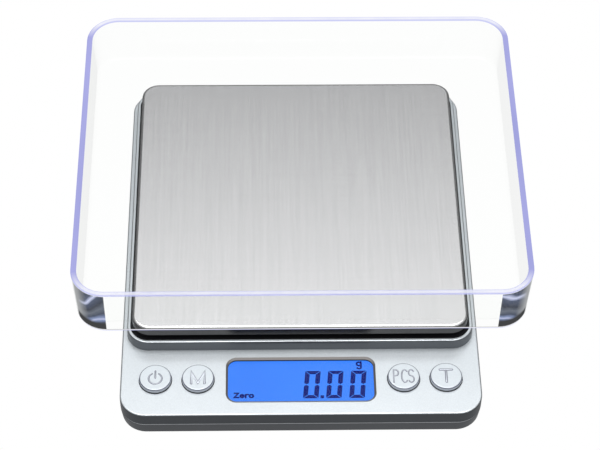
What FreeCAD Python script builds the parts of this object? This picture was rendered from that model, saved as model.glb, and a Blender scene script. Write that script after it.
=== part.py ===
import FreeCAD, Part
import os

# Digital pocket gram scale: a low silver housing with a raised collar round a square steel platform,
# a blue display between two pairs of round keys, and a clear tray resting on the platform.
# Millimetres. +X right, +Y away from the user, +Z up. The origin is on the desk, under the housing's centre.

# Housing shells
BODY_W = 106.0
BODY_D = 129.0
BODY_R = 7.5
DRAFT = 0.4
WALL = 1.8
FOOT_H = 1.5
BASE_Z = FOOT_H
FLOOR_Z = BASE_Z + 1.8
PARTING_Z = 5.85
TOP_Z = 10.35
PANEL_Z = TOP_Z - WALL
BASE_EDGE_R = 0.6
SEAM_R = 0.35
TOP_EDGE_R = 0.5
LIP_INSET = 0.95
LIP_H = 1.0

# Clearances: between snug pieces, round loose ones, and how far a cutter runs past the face it opens
FIT = 0.05
LOOSE = 0.15
OVERSHOOT = 1.0

# Raised collar, the deck inside it and the platform's centre
WELL_Y = 10.7
COLLAR_W = 103.3
COLLAR_TOP_W = 102.9
COLLAR_Z = 14.0
COLLAR_R = 6.5
COLLAR_ROOT = 0.6
COLLAR_EDGE_R = 0.4
WELL_W = 101.1
WELL_R = 5.5
DECK_Z0 = 12.4
DECK_Z1 = 13.6
STOP_Z = 14.4
STOP_R = 3.0
STOP_REACH = (40.0, 38.0)
BUMP_HALF = 29.0
BUMP_WALL = 1.1
BUMP_Y0 = 35.8
BUMP_Z0 = 13.4
BUMP_Z1 = 14.3

# Platform stack
PLATE_W = 99.6
PLATE_D = 100.1
PLATE_R = 5.3
PLATE_T = 0.5
PLATE_Z0 = 15.8
PLATE_Z1 = 19.0
PLATE_EDGE_R = 0.9
FRAME_Z0 = 15.0
FRAME_SKIN_Z = 16.8
FRAME_Z1 = 18.3
FRAME_GAP = 0.2
FRAME_RIM = 1.6
RIB_T = 1.2
RIB_PITCH = 19.0
RIBS_EACH_SIDE = 2
FRAME_BOSS = (18.0, 14.0, 2.0)
FRAME_BOSS_X = 18.0
TAPE_SIDE = 92.0
TAPE_R = 3.0

# Clear tray, set down by hand a little off the platform's centre
TRAY_X = 0.6
TRAY_Y = 16.3
TRAY_W = 135.0
TRAY_D = 114.6
TRAY_R = 10.0
TRAY_Z0 = PLATE_Z1 + FIT
TRAY_DRAFT = 0.8
TRAY_H = 17.6
TRAY_WALL = 1.7
TRAY_FLOOR = 1.8
TRAY_HEEL_R = 0.5
TRAY_INNER_R = 1.2
TRAY_LIP_R = 0.35

# Display window, stacked down to the board
LCD_Y = -51.9
BEZEL_W = 44.1
BEZEL_D = 16.3
BEZEL_R = 3.2
WINDOW_W = 42.9
WINDOW_D = 14.9
WINDOW_R = 2.6
WINDOW_Z = 9.95
POCKET_W = 47.4
POCKET_D = 19.4
POCKET_R = 1.0
POCKET_Z = 9.45
LENS_GAP = 0.3
LENS_FLANGE_Z = 8.8
LENS_STEP_Z = 9.3
LCD_W = 46.0
LCD_Y0 = -61.1
LCD_Y1 = -42.7
LCD_REAR_Y1 = -45.1
LCD_SPLIT_Z = 7.95
LCD_Z0 = 7.1
LCD_Z1 = 8.75
BACKLIGHT_Z0 = 5.3
BACKLIGHT_LEG_AT = (21.0, 6.5)
BACKLIGHT_LEG_R = 0.6
CONNECTOR_HALF = 21.0

# Keys and their switches
KEY_Y = -51.85
KEY_X = {"power": -42.7, "mode": -30.2, "count": 30.2, "tare": 42.7}
KEY_HOLE_R = 4.92
KEY_R = 4.72
KEY_TOP_Z = 11.75
KEY_SHOULDER_R = 0.4
KEY_FLANGE_R = 5.6
KEY_FLANGE_Z0 = 7.9
KEY_FLANGE_Z1 = 8.45
KEY_STEM_R = 1.6
PLUNGER_R = 1.7
PLUNGER_Z0 = 5.6
PLUNGER_Z1 = 7.4
SWITCH_SIDE = 6.0
SWITCH_Z1 = 6.7
SWITCH_BORE_Z = 5.1

# Circuit board
BOARD_Z0 = 3.7
BOARD_Z1 = 4.7
BOARD_W = 99.0
BOARD_D = 28.6
BOARD_R = 1.0
BOARD_Y = -41.3
TONGUE_W = 87.0
TONGUE_D = 8.0
TONGUE_Y = -57.5
BOARD_SCREWS = [(-46.0, -31.0), (46.0, -31.0), (-36.5, -58.9), (36.5, -58.9)]
BOARD_HOLE_R = 1.0
BOARD_BOSS_R = 2.4
BOARD_PILOT_Z0 = 2.3
CHIP_Y = -35.0

# Load cell beam, lying along X under the platform's centre
BEAM_L = 50.0
BEAM_D = 12.0
BEAM_Z0 = 5.3
BEAM_Z1 = 12.3
BEAM_EYE_X = 5.0
BEAM_EYE_R = 2.6
BEAM_SLOT_H = 1.2
BEAM_SCREW_X = (13.9, 21.3)
BEAM_SKIN = 1.3
BEAM_WINDOW = (54.0, 15.0, 2.0)
PEDESTAL_X0 = -26.0
PEDESTAL_X1 = -10.0
SPACER_X0 = 10.5
SPACER_X1 = 24.8
GAUGE_PAD = (18.0, 8.4, 1.5)
GAUGE_PAD_T = 0.6

# Screws: housing and board screws are M1.8 tapping, the load cell's and the platform's are M3
TAPPING_R = 0.9
TAPPING_HOLE_R = 1.1
PILOT_R = 0.95
HOUSING_HEAD_R = 1.9
HOUSING_HEAD_SEAT_Z = 3.1
HOUSING_HEAD_T = 1.3
HOUSING_TIP_Z = 8.0
BOARD_HEAD_R = 1.7
BOARD_HEAD_T = 1.2
BOARD_TIP_Z = 2.5
M3_R = 1.5
M3_HEAD_R = 2.75
M3_HEAD_T = 1.55
BEAM_HEAD_SEAT_Z = 3.5
BEAM_TIP_Z = 10.5
PLATFORM_HEAD_SEAT_Z = 16.7
PLATFORM_TIP_Z = 7.0

# Corner bosses and feet
CORNER_SCREW = (47.5, 58.9)
BOSS_R = 2.9
FOOT_AT = (41.0, 50.0)
FOOT_R = 5.0
FOOT_TREAD_R = 0.4
FOOT_SPIGOT_R = 4.2
FOOT_SEAT_Z = 2.0

# Two AAA cells side by side in a bay under the rear of the housing
CELL_R = 5.25
CELL_BODY = 43.7
CELL_NUB = 0.8
CELL_NUB_R = 1.9
CELL_Z = 8.05
CELL_Y = (43.75, 54.45)
CELL_NEG_X = 20.9
CELL_EDGE_R = 0.5
BAY_HALF = 25.05
BAY_Y0 = 38.2
BAY_Y1 = 61.0
BAY_WALL = 1.2
BAY_TOP_Z = 12.0
BAY_REAR_GAP = 0.25
CONTACT_T = 0.4
CONTACT_HALF = 4.2
CONTACT_Z0 = 4.2
BUTTON_R = 1.6
SOLDER_TAB_HALF = 1.0
SOLDER_TAB_X = -27.0
SOLDER_Z = 8.0
LEAD_R = 0.6
GAUGE_LEAD_R = 0.35
SPRING_WIRE_R = 0.3
SPRING_R = 3.4
SPRING_TAPER = 0.4
SPRING_RINGS = 4

# Battery door, pivoted on two pin pairs at its front edge
DOOR_HALF = 26.8
DOOR_Y0 = 37.3
DOOR_Y1 = 61.6
DOOR_Z1 = 2.7
DOOR_R = 1.5
PIVOT_Y = 36.0
PIVOT_Z = 2.3
PIVOT_R = 0.6
TAB_X = 15.0
TAB_HALF = 3.0
PIN_REACH = 0.8
LATCH_HALF = 4.0
LATCH_T = 0.9
LATCH_Z1 = 6.0
NUB_HALF = 2.5
NUB_REACH = 0.25
NUB_Z = (5.0, 5.8)
THUMB_DISH = (16.0, 7.0, 3.0)
THUMB_DEPTH = 0.5
THUMB_Y = DOOR_Y1 - 5.5
THUMB_RIBS = 4
THUMB_RIB_HALF = 6.0
THUMB_RIB_PITCH = 1.6
THUMB_RIB_T = 0.6


# Shape helpers

def outline(width, depth, radius, z, centre=(0.0, 0.0)):
    """Closed rounded rectangle lying flat at height z."""
    half_x = width / 2 - radius
    half_y = depth / 2 - radius
    arcs = []
    for turn, (sx, sy) in enumerate([(1, 1), (-1, 1), (-1, -1), (1, -1)]):
        corner = FreeCAD.Vector(centre[0] + sx * half_x, centre[1] + sy * half_y, z)
        start = 90.0 * turn
        arcs.append(Part.makeCircle(radius, corner, FreeCAD.Vector(0, 0, 1), start, start + 90.0))
    edges = []
    for arc, following in zip(arcs, arcs[1:] + arcs[:1]):
        edges.append(arc)
        edges.append(Part.makeLine(arc.Vertexes[-1].Point, following.Vertexes[0].Point))
    return Part.Wire(edges)


def slab(width, depth, radius, z0, z1, centre=(0.0, 0.0)):
    """Rounded rectangular block with upright sides."""
    return Part.Face(outline(width, depth, radius, z0, centre)).extrude(FreeCAD.Vector(0, 0, z1 - z0))


def drafted(low, high):
    """Solid between two outlines at different heights."""
    return Part.makeLoft([low, high], True, True)


def box(x0, x1, y0, y1, z0, z1):
    return Part.makeBox(x1 - x0, y1 - y0, z1 - z0, FreeCAD.Vector(x0, y0, z0))


def rod(x, y, z0, z1, radius):
    """Upright cylinder."""
    return Part.makeCylinder(radius, z1 - z0, FreeCAD.Vector(x, y, z0))


def rod_x(x0, x1, y, z, radius):
    """Cylinder lying along X."""
    return Part.makeCylinder(radius, x1 - x0, FreeCAD.Vector(x0, y, z), FreeCAD.Vector(1, 0, 0))


def fuse(shapes):
    return shapes[0].multiFuse(shapes[1:]).removeSplitter()


def soften(shape, z, radius):
    """Round every edge that lies flat at height z."""
    edges = [e for e in shape.Edges if abs(e.BoundBox.ZMin - z) < 1e-4 and abs(e.BoundBox.ZMax - z) < 1e-4]
    return shape.makeFillet(radius, edges)


def four_corners(x, y, y_centre=0.0):
    return [(sx * x, y_centre + sy * y) for sx in (-1, 1) for sy in (-1, 1)]


def stepped_hole(x, y, mouth_z, seat_z, end_z, head_r, shank_r):
    """Room for a screw: a wide mouth down to the head's seat, then a narrower hole."""
    mouth = rod(x, y, min(mouth_z, seat_z), max(mouth_z, seat_z), head_r)
    return mouth.fuse(rod(x, y, min(mouth_z, end_z), max(mouth_z, end_z), shank_r))


def pan_head_screw(x, y, seat_z, head_end_z, tip_z, head_r, shank_r):
    """Upright screw: a head from its seat to its end, a shank to the tip, and a cross recess."""
    head = rod(x, y, min(seat_z, head_end_z), max(seat_z, head_end_z), head_r)
    screw = head.fuse(rod(x, y, min(seat_z, tip_z), max(seat_z, tip_z), shank_r))
    inwards = 1 if seat_z > head_end_z else -1
    reach, half, depth = 0.6 * head_r, 0.14 * head_r, 0.25 * head_r
    z0, z1 = sorted((head_end_z, head_end_z + inwards * depth))
    along_x = box(x - reach, x + reach, y - half, y + half, z0, z1)
    along_y = box(x - half, x + half, y - reach, y + reach, z0, z1)
    return screw.cut([along_x, along_y])


def wire_run(points, radius):
    """Insulated lead through the points: straight runs joined by ball elbows."""
    bends = [FreeCAD.Vector(*p) for p in points]
    pieces = [Part.makeCylinder(radius, (b - a).Length, a, b - a) for a, b in zip(bends, bends[1:])]
    pieces += [Part.makeSphere(radius, bend) for bend in bends[1:-1]]
    return fuse(pieces)


# Housing

def bottom_housing():
    """Lower shell: floor, lip, bosses, load cell pedestal and battery bay."""
    low = outline(BODY_W - 2 * DRAFT, BODY_D - 2 * DRAFT, BODY_R, BASE_Z)
    shell = soften(drafted(low, outline(BODY_W, BODY_D, BODY_R, PARTING_Z)), BASE_Z, BASE_EDGE_R)
    shell = soften(shell, PARTING_Z, SEAM_R)
    lip = slab(BODY_W - 2 * LIP_INSET, BODY_D - 2 * LIP_INSET, BODY_R - LIP_INSET, FLOOR_Z, PARTING_Z + LIP_H)
    inside = slab(BODY_W - 2 * WALL, BODY_D - 2 * WALL, BODY_R - WALL, FLOOR_Z, PARTING_Z + LIP_H)
    shell = fuse([shell, lip]).cut(inside)

    bay_outside = box(-BAY_HALF - BAY_WALL, BAY_HALF + BAY_WALL, BAY_Y0 - BAY_WALL, BAY_Y1 + BAY_WALL,
                      FLOOR_Z, BAY_TOP_Z)
    rear_cutaway = box(-BODY_W / 2, BODY_W / 2, BAY_Y1, BODY_D / 2, PANEL_Z - BAY_REAR_GAP, BAY_TOP_Z)
    pedestal = box(PEDESTAL_X0, PEDESTAL_X1, WELL_Y - BEAM_D / 2, WELL_Y + BEAM_D / 2, FLOOR_Z, BEAM_Z0)
    corner_bosses = [rod(x, y, FLOOR_Z, PARTING_Z - FIT, BOSS_R) for x, y in four_corners(*CORNER_SCREW)]
    board_bosses = [rod(x, y, FLOOR_Z, BOARD_Z0, BOARD_BOSS_R) for x, y in BOARD_SCREWS]
    shell = fuse([shell, bay_outside.cut(rear_cutaway), pedestal] + corner_bosses + board_bosses)

    cuts = [box(-BAY_HALF, BAY_HALF, BAY_Y0, BAY_Y1, BASE_Z, BAY_TOP_Z), door_recess(), latch_groove()]
    cuts += [pivot_notch(side * TAB_X) for side in (-1, 1)]
    for x, y in four_corners(*CORNER_SCREW):
        cuts.append(stepped_hole(x, y, BASE_Z, HOUSING_HEAD_SEAT_Z, PARTING_Z, HOUSING_HEAD_R + LOOSE,
                                 TAPPING_HOLE_R))
    cuts += [stepped_hole(-x, WELL_Y, BASE_Z, BEAM_HEAD_SEAT_Z, BEAM_Z0, M3_HEAD_R + LOOSE, M3_R + FIT)
             for x in BEAM_SCREW_X]
    cuts += [rod(x, y, BOARD_PILOT_Z0, BOARD_Z0, PILOT_R) for x, y in BOARD_SCREWS]
    cuts += [rod(x, y, BASE_Z, FOOT_SEAT_Z, FOOT_SPIGOT_R + FIT) for x, y in four_corners(*FOOT_AT)]
    return shell.cut(cuts)


def door_recess():
    """Shallow seat for the door, a little larger than the door all round."""
    middle_y = (DOOR_Y0 + DOOR_Y1) / 2
    half, z1 = DOOR_HALF + LOOSE, DOOR_Z1 + 2 * FIT
    seat = slab(2 * half, DOOR_Y1 - DOOR_Y0 + 2 * LOOSE, DOOR_R + LOOSE, BASE_Z, z1, (0.0, middle_y))
    square_front = box(-half, half, DOOR_Y0 - 2 * LOOSE, DOOR_Y0 + 2 * DOOR_R, BASE_Z, z1)
    return seat.fuse(square_front)


def latch_groove():
    """Groove in the bay's rear wall where the door's latch finger flexes."""
    half = LATCH_HALF + 2 * FIT
    return box(-half, half, BAY_Y1, BAY_Y1 + 4 * LOOSE, DOOR_Z1, LATCH_Z1 + 4 * FIT)


def pivot_notch(x):
    """Notch in the floor for one door tab, with a blind bore for its pins on each side."""
    half, ends = TAB_HALF + 2 * FIT, TAB_HALF + PIN_REACH + 2 * FIT
    round_room = PIVOT_R + 2 * FIT
    notch = box(x - half, x + half, PIVOT_Y - round_room, DOOR_Y0, BASE_Z, PIVOT_Z + round_room)
    return notch.fuse(rod_x(x - ends, x + ends, PIVOT_Y, PIVOT_Z, PIVOT_R + FIT))


def top_housing():
    """Upper shell: front panel, raised collar, deck under the platform and its openings."""
    centre = (0.0, WELL_Y)
    shell = soften(slab(BODY_W, BODY_D, BODY_R, PARTING_Z, TOP_Z), TOP_Z, TOP_EDGE_R)
    shell = soften(shell, PARTING_Z, SEAM_R)
    shell = shell.cut(slab(BODY_W - 2 * WALL, BODY_D - 2 * WALL, BODY_R - WALL, PARTING_Z, PANEL_Z))
    rebate = LIP_INSET - FIT
    shell = shell.cut(slab(BODY_W - 2 * rebate, BODY_D - 2 * rebate, BODY_R - rebate, PARTING_Z,
                           PARTING_Z + LIP_H + 2 * FIT))
    collar = drafted(outline(COLLAR_W, COLLAR_W, COLLAR_R, TOP_Z - COLLAR_ROOT, centre),
                     outline(COLLAR_TOP_W, COLLAR_TOP_W, COLLAR_R, COLLAR_Z, centre))
    shell = fuse([shell, soften(collar, COLLAR_Z, COLLAR_EDGE_R)])
    shell = shell.cut(slab(WELL_W, WELL_W, WELL_R, PANEL_Z, DECK_Z0, centre))
    shell = shell.cut(slab(WELL_W, WELL_W, WELL_R, DECK_Z1, COLLAR_Z + OVERSHOOT, centre))

    bump = box(-BUMP_HALF, BUMP_HALF, BUMP_Y0, BAY_Y1 + BAY_REAR_GAP, DECK_Z0, BUMP_Z1)
    stops = [rod(x, y, DECK_Z1, STOP_Z, STOP_R) for x, y in four_corners(*STOP_REACH, WELL_Y)]
    bosses = [rod(x, y, PARTING_Z + FIT, DECK_Z0 if y > 0 else PANEL_Z, BOSS_R)
              for x, y in four_corners(*CORNER_SCREW)]
    shell = fuse([shell, bump] + stops + bosses)

    inner_half = BUMP_HALF - BUMP_WALL
    cuts = [box(-inner_half, inner_half, BUMP_Y0 + BUMP_WALL, BAY_Y1 - 2 * FIT, PANEL_Z, BUMP_Z0)]
    cuts.append(slab(*BEAM_WINDOW, DECK_Z0, DECK_Z1, centre))
    cuts.append(slab(WINDOW_W, WINDOW_D, WINDOW_R, PANEL_Z, TOP_Z, (0.0, LCD_Y)))
    cuts.append(drafted(outline(WINDOW_W, WINDOW_D, WINDOW_R, WINDOW_Z, (0.0, LCD_Y)),
                        outline(BEZEL_W, BEZEL_D, BEZEL_R, TOP_Z, (0.0, LCD_Y))))
    cuts.append(slab(POCKET_W, POCKET_D, POCKET_R, PANEL_Z, POCKET_Z, (0.0, LCD_Y)))
    cuts += [rod(x, KEY_Y, PANEL_Z, TOP_Z, KEY_HOLE_R) for x in KEY_X.values()]
    cuts += [rod(x, y, PARTING_Z, HOUSING_TIP_Z + 4 * FIT, PILOT_R) for x, y in four_corners(*CORNER_SCREW)]
    return shell.cut(cuts)


def housing_screws():
    return Part.makeCompound([pan_head_screw(x, y, HOUSING_HEAD_SEAT_Z, HOUSING_HEAD_SEAT_Z - HOUSING_HEAD_T,
                                             HOUSING_TIP_Z, HOUSING_HEAD_R, TAPPING_R)
                              for x, y in four_corners(*CORNER_SCREW)])


def foot(x, y):
    """Round rubber foot: a softened pad under the floor and a narrower spigot seated in it."""
    pad = soften(rod(x, y, 0.0, BASE_Z, FOOT_R), 0.0, FOOT_TREAD_R)
    return fuse([pad, rod(x, y, BASE_Z, FOOT_SEAT_Z, FOOT_SPIGOT_R)])


# Display

def lens_flange(z0, z1):
    """Outline of the hidden flange round the window, used by the lens and by its tape."""
    return slab(POCKET_W - 2 * LENS_GAP, POCKET_D - 2 * LENS_GAP, POCKET_R - LENS_GAP, z0, z1, (0.0, LCD_Y))


def display_lens():
    """Clear window: a wide flange under the panel and a boss that fills the opening."""
    boss = slab(WINDOW_W - 4 * FIT, WINDOW_D - 4 * FIT, WINDOW_R - 2 * FIT, LENS_STEP_Z, WINDOW_Z,
                (0.0, LCD_Y))
    return fuse([lens_flange(LENS_FLANGE_Z, LENS_STEP_Z), boss])


def display_tape():
    """Thin adhesive frame between the lens flange and the panel."""
    opening = slab(WINDOW_W + LENS_GAP, WINDOW_D + LENS_GAP, WINDOW_R + LENS_GAP / 2, LENS_STEP_Z, POCKET_Z,
                   (0.0, LCD_Y))
    return lens_flange(LENS_STEP_Z, POCKET_Z).cut(opening)


def lcd_panel():
    """Two glasses; the front one overhangs at the back to carry the contact pads."""
    front = box(-LCD_W / 2, LCD_W / 2, LCD_Y0, LCD_Y1, LCD_SPLIT_Z, LCD_Z1)
    rear = box(-LCD_W / 2, LCD_W / 2, LCD_Y0, LCD_REAR_Y1, LCD_Z0, LCD_SPLIT_Z)
    return fuse([front, rear])


def lcd_backlight():
    """Light guide with four short legs that stand on the board."""
    guide = box(-LCD_W / 2, LCD_W / 2, LCD_Y0, LCD_REAR_Y1, BACKLIGHT_Z0, LCD_Z0)
    middle = (LCD_Y0 + LCD_REAR_Y1) / 2
    legs = [rod(x, y, BOARD_Z1, BACKLIGHT_Z0, BACKLIGHT_LEG_R)
            for x, y in four_corners(*BACKLIGHT_LEG_AT, middle)]
    return fuse([guide] + legs)


def lcd_connector():
    """Striped rubber bar that joins the glass pads to the board."""
    y0, y1 = LCD_REAR_Y1 + LENS_GAP, LCD_Y1 - LENS_GAP
    return box(-CONNECTOR_HALF, CONNECTOR_HALF, y0, y1, BOARD_Z1, LCD_SPLIT_Z)


# Board

def main_circuit_board():
    """Board across the front of the housing, narrower between the corner bosses."""
    wide = slab(BOARD_W, BOARD_D, BOARD_R, BOARD_Z0, BOARD_Z1, (0.0, BOARD_Y))
    tongue = slab(TONGUE_W, TONGUE_D, BOARD_R, BOARD_Z0, BOARD_Z1, (0.0, TONGUE_Y))
    return fuse([wide, tongue]).cut([rod(x, y, BOARD_Z0, BOARD_Z1, BOARD_HOLE_R) for x, y in BOARD_SCREWS])


def controller_chip():
    """Domed epoxy cap over the bonded controller."""
    base_r, height = 6.0, 1.6
    dome_r = (base_r ** 2 + height ** 2) / (2 * height)
    dome = Part.makeSphere(dome_r, FreeCAD.Vector(0, CHIP_Y, BOARD_Z1 + height - dome_r))
    return dome.common(rod(0, CHIP_Y, BOARD_Z1, BOARD_Z1 + dome_r, dome_r))


def converter_chip(x0, y, length=10.0, width=4.0):
    """Small-outline converter chip: its body and a leg every 1.27 mm on both sides."""
    leg_pitch, leg_w, leg_reach, standoff, height = 1.27, 0.4, 1.0, 0.1, 1.6
    pieces = [box(x0, x0 + length, y - width / 2, y + width / 2, BOARD_Z1 + standoff, BOARD_Z1 + height)]
    for i in range(int(length / leg_pitch) + 1):
        x = x0 + leg_w + leg_pitch * i
        for side in (-1, 1):
            root, tip = y + side * width / 2, y + side * (width / 2 + leg_reach)
            pieces.append(box(x, x + leg_w, min(root, tip), max(root, tip), BOARD_Z1, BOARD_Z1 + leg_w))
    return pieces


def chip_parts(x0, y0, across, pitch_x, rows, pitch_y):
    """Grid of small resistors and capacitors."""
    width, depth, height = 0.8, 1.6, 0.5
    spots = [(x0 + pitch_x * i, y0 + pitch_y * j) for j in range(rows) for i in range(across)]
    return [box(x, x + width, y, y + depth, BOARD_Z1, BOARD_Z1 + height) for x, y in spots]


def board_components():
    """Converter chip, crystal, capacitor and small chip parts, all behind the display."""
    crystal = slab(4.5, 2.0, 0.9, BOARD_Z1, BOARD_Z1 + 1.3, (14.2, CHIP_Y + 1.5))
    capacitor = rod(24.0, CHIP_Y + 1.0, BOARD_Z1, BOARD_Z1 + 3.2, 2.2)
    small = chip_parts(-12.0, CHIP_Y - 4.5, 2, 1.5, 3, 1.9) + chip_parts(31.0, CHIP_Y - 1.0, 6, 1.8, 1, 0.0)
    return Part.makeCompound(converter_chip(-27.0, CHIP_Y) + [crystal, capacitor] + small)


def board_screws():
    return Part.makeCompound([pan_head_screw(x, y, BOARD_Z1, BOARD_Z1 + BOARD_HEAD_T, BOARD_TIP_Z,
                                             BOARD_HEAD_R, TAPPING_R) for x, y in BOARD_SCREWS])


# Keys

def switch_body(x):
    """Square tactile switch with a bore for its plunger."""
    half = SWITCH_SIDE / 2
    body = box(x - half, x + half, KEY_Y - half, KEY_Y + half, BOARD_Z1, SWITCH_Z1)
    return body.cut(rod(x, KEY_Y, SWITCH_BORE_Z, SWITCH_Z1, PLUNGER_R + FIT))


def plunger(x):
    return rod(x, KEY_Y, PLUNGER_Z0, PLUNGER_Z1, PLUNGER_R)


def key_cap(x):
    """Round cap with a soft shoulder, a flange that holds it under the panel and a short stem."""
    cap = soften(rod(x, KEY_Y, KEY_FLANGE_Z0, KEY_TOP_Z, KEY_R), KEY_TOP_Z, KEY_SHOULDER_R)
    flange = rod(x, KEY_Y, KEY_FLANGE_Z0, KEY_FLANGE_Z1, KEY_FLANGE_R)
    stem = rod(x, KEY_Y, PLUNGER_Z1, KEY_FLANGE_Z0, KEY_STEM_R)
    return fuse([cap, flange, stem])


# Batteries

def battery(y, nub_side):
    """AAA cell along X, with its nub towards nub_side."""
    body = rod_x(-CELL_NEG_X, CELL_BODY - CELL_NEG_X, y, CELL_Z, CELL_R)
    body = body.makeFillet(CELL_EDGE_R, [e for e in body.Edges if e.BoundBox.XLength < 1e-4])
    tip = CELL_BODY - CELL_NEG_X
    cell = body.fuse(rod_x(tip, tip + CELL_NUB, y, CELL_Z, CELL_NUB_R))
    if nub_side < 0:
        cell = cell.mirror(FreeCAD.Vector(0, 0, 0), FreeCAD.Vector(1, 0, 0))
    return cell


def contact_plate(side, y0, y1):
    """Upright spring-steel strip against one end wall of the bay."""
    x0, x1 = sorted((side * (BAY_HALF - FIT), side * (BAY_HALF - FIT - CONTACT_T)))
    return box(x0, x1, y0 - CONTACT_HALF, y1 + CONTACT_HALF, CONTACT_Z0, BAY_TOP_Z)


def solder_tab(y):
    """Strip that carries a left contact over the bay wall and down its outside."""
    y0, y1 = y - SOLDER_TAB_HALF, y + SOLDER_TAB_HALF
    wall_x, top_z = FIT - BAY_HALF, BAY_TOP_Z + FIT + CONTACT_T
    over = box(SOLDER_TAB_X, wall_x + CONTACT_T, y0, y1, BAY_TOP_Z + FIT, top_z)
    riser = box(wall_x, wall_x + CONTACT_T, y0, y1, BAY_TOP_Z - OVERSHOOT, top_z)
    down = box(SOLDER_TAB_X, SOLDER_TAB_X + CONTACT_T, y0, y1, SOLDER_Z, top_z)
    return [over, riser, down]


def contact_button(side, y):
    """Raised button that meets a cell's nub."""
    inner, tip = BAY_HALF - FIT - CONTACT_T, CELL_BODY - CELL_NEG_X + CELL_NUB
    x0, x1 = sorted((side * inner, side * tip))
    return rod_x(x0, x1, y, CELL_Z, BUTTON_R)


def contact_spring(side, y):
    """Tapering coil that pushes on a cell's flat end, drawn as rings joined by short risers."""
    plate_x = -(BAY_HALF - FIT - CONTACT_T - SPRING_WIRE_R)
    pitch = -(plate_x + CELL_NEG_X + SPRING_WIRE_R) / (SPRING_RINGS - 1)
    along_x = FreeCAD.Vector(1, 0, 0)
    pieces = []
    for i in range(SPRING_RINGS):
        ring_r = SPRING_R - SPRING_TAPER * i
        x = plate_x + pitch * i
        pieces.append(Part.makeTorus(ring_r, SPRING_WIRE_R, FreeCAD.Vector(x, y, CELL_Z), along_x))
        if i:
            flip = 1 if i % 2 else -1
            last = FreeCAD.Vector(x - pitch, y, CELL_Z + flip * (ring_r + SPRING_TAPER))
            here = FreeCAD.Vector(x, y, CELL_Z + flip * ring_r)
            pieces.append(Part.makeCylinder(SPRING_WIRE_R - 0.02, (here - last).Length, last, here - last))
    coil = fuse(pieces)
    return coil if side < 0 else coil.mirror(FreeCAD.Vector(0, 0, 0), FreeCAD.Vector(1, 0, 0))


def battery_link_contact():
    """Right-hand strip that joins the two cells: a button for one and a coil for the other."""
    strip = contact_plate(1, *CELL_Y)
    return Part.makeCompound([fuse([strip, contact_button(1, CELL_Y[0])]), contact_spring(1, CELL_Y[1])])


def battery_negative_contact():
    strip = contact_plate(-1, CELL_Y[0], CELL_Y[0])
    return Part.makeCompound([fuse([strip] + solder_tab(CELL_Y[0])), contact_spring(-1, CELL_Y[0])])


def battery_positive_contact():
    strip = contact_plate(-1, CELL_Y[1], CELL_Y[1])
    return fuse([strip, contact_button(-1, CELL_Y[1])] + solder_tab(CELL_Y[1]))


def battery_lead(tab_y, side_x, board_x):
    """Lead from a solder tab, down to the floor and forward along the left wall to the board."""
    start = (SOLDER_TAB_X - LEAD_R - 2 * FIT, tab_y, SOLDER_Z + LEAD_R)
    route = [start, (-31.0, tab_y - 3.0, 6.6), (side_x, tab_y - 14.0, 4.4),
             (side_x, 0.0, 4.2), (side_x, -20.0, 4.8), (board_x, -29.0, BOARD_Z1 + LEAD_R + 4 * FIT)]
    return wire_run(route, LEAD_R)


def door_pivots():
    """Two tabs at the door's front edge, each with a pin reaching out of both its sides."""
    pieces = []
    for x in (-TAB_X, TAB_X):
        ends = TAB_HALF + PIN_REACH
        pieces.append(rod_x(x - ends, x + ends, PIVOT_Y, PIVOT_Z, PIVOT_R))
        pieces.append(box(x - TAB_HALF, x + TAB_HALF, PIVOT_Y, DOOR_Y0 + OVERSHOOT, PIVOT_Z - PIVOT_R,
                          DOOR_Z1))
    return pieces


def door_latch():
    """Upright springy finger with a nub on its rear face."""
    finger_y = BAY_Y1 - 2 * FIT
    finger = box(-LATCH_HALF, LATCH_HALF, finger_y - LATCH_T, finger_y, DOOR_Z1 - 4 * FIT, LATCH_Z1)
    nub = box(-NUB_HALF, NUB_HALF, finger_y - LATCH_T / 2, BAY_Y1 + NUB_REACH, *NUB_Z)
    return [finger, nub]


def battery_door():
    """Flush plate with its pivots, its latch and a dished and ribbed patch for the thumb."""
    plate = slab(2 * DOOR_HALF, DOOR_Y1 - DOOR_Y0, DOOR_R, BASE_Z, DOOR_Z1, (0.0, (DOOR_Y0 + DOOR_Y1) / 2))
    door = fuse([plate] + door_pivots() + door_latch())
    dish = slab(*THUMB_DISH, BASE_Z, BASE_Z + THUMB_DEPTH, (0.0, THUMB_Y))
    first_rib_y = THUMB_Y - (THUMB_RIB_PITCH * (THUMB_RIBS - 1) + THUMB_RIB_T) / 2
    ribs = []
    for i in range(THUMB_RIBS):
        y0 = first_rib_y + THUMB_RIB_PITCH * i
        ribs.append(box(-THUMB_RIB_HALF, THUMB_RIB_HALF, y0, y0 + THUMB_RIB_T, BASE_Z + 2 * FIT,
                        BASE_Z + THUMB_DEPTH + 2 * FIT))
    return fuse([door.cut(dish)] + ribs)


# Load cell

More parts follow.
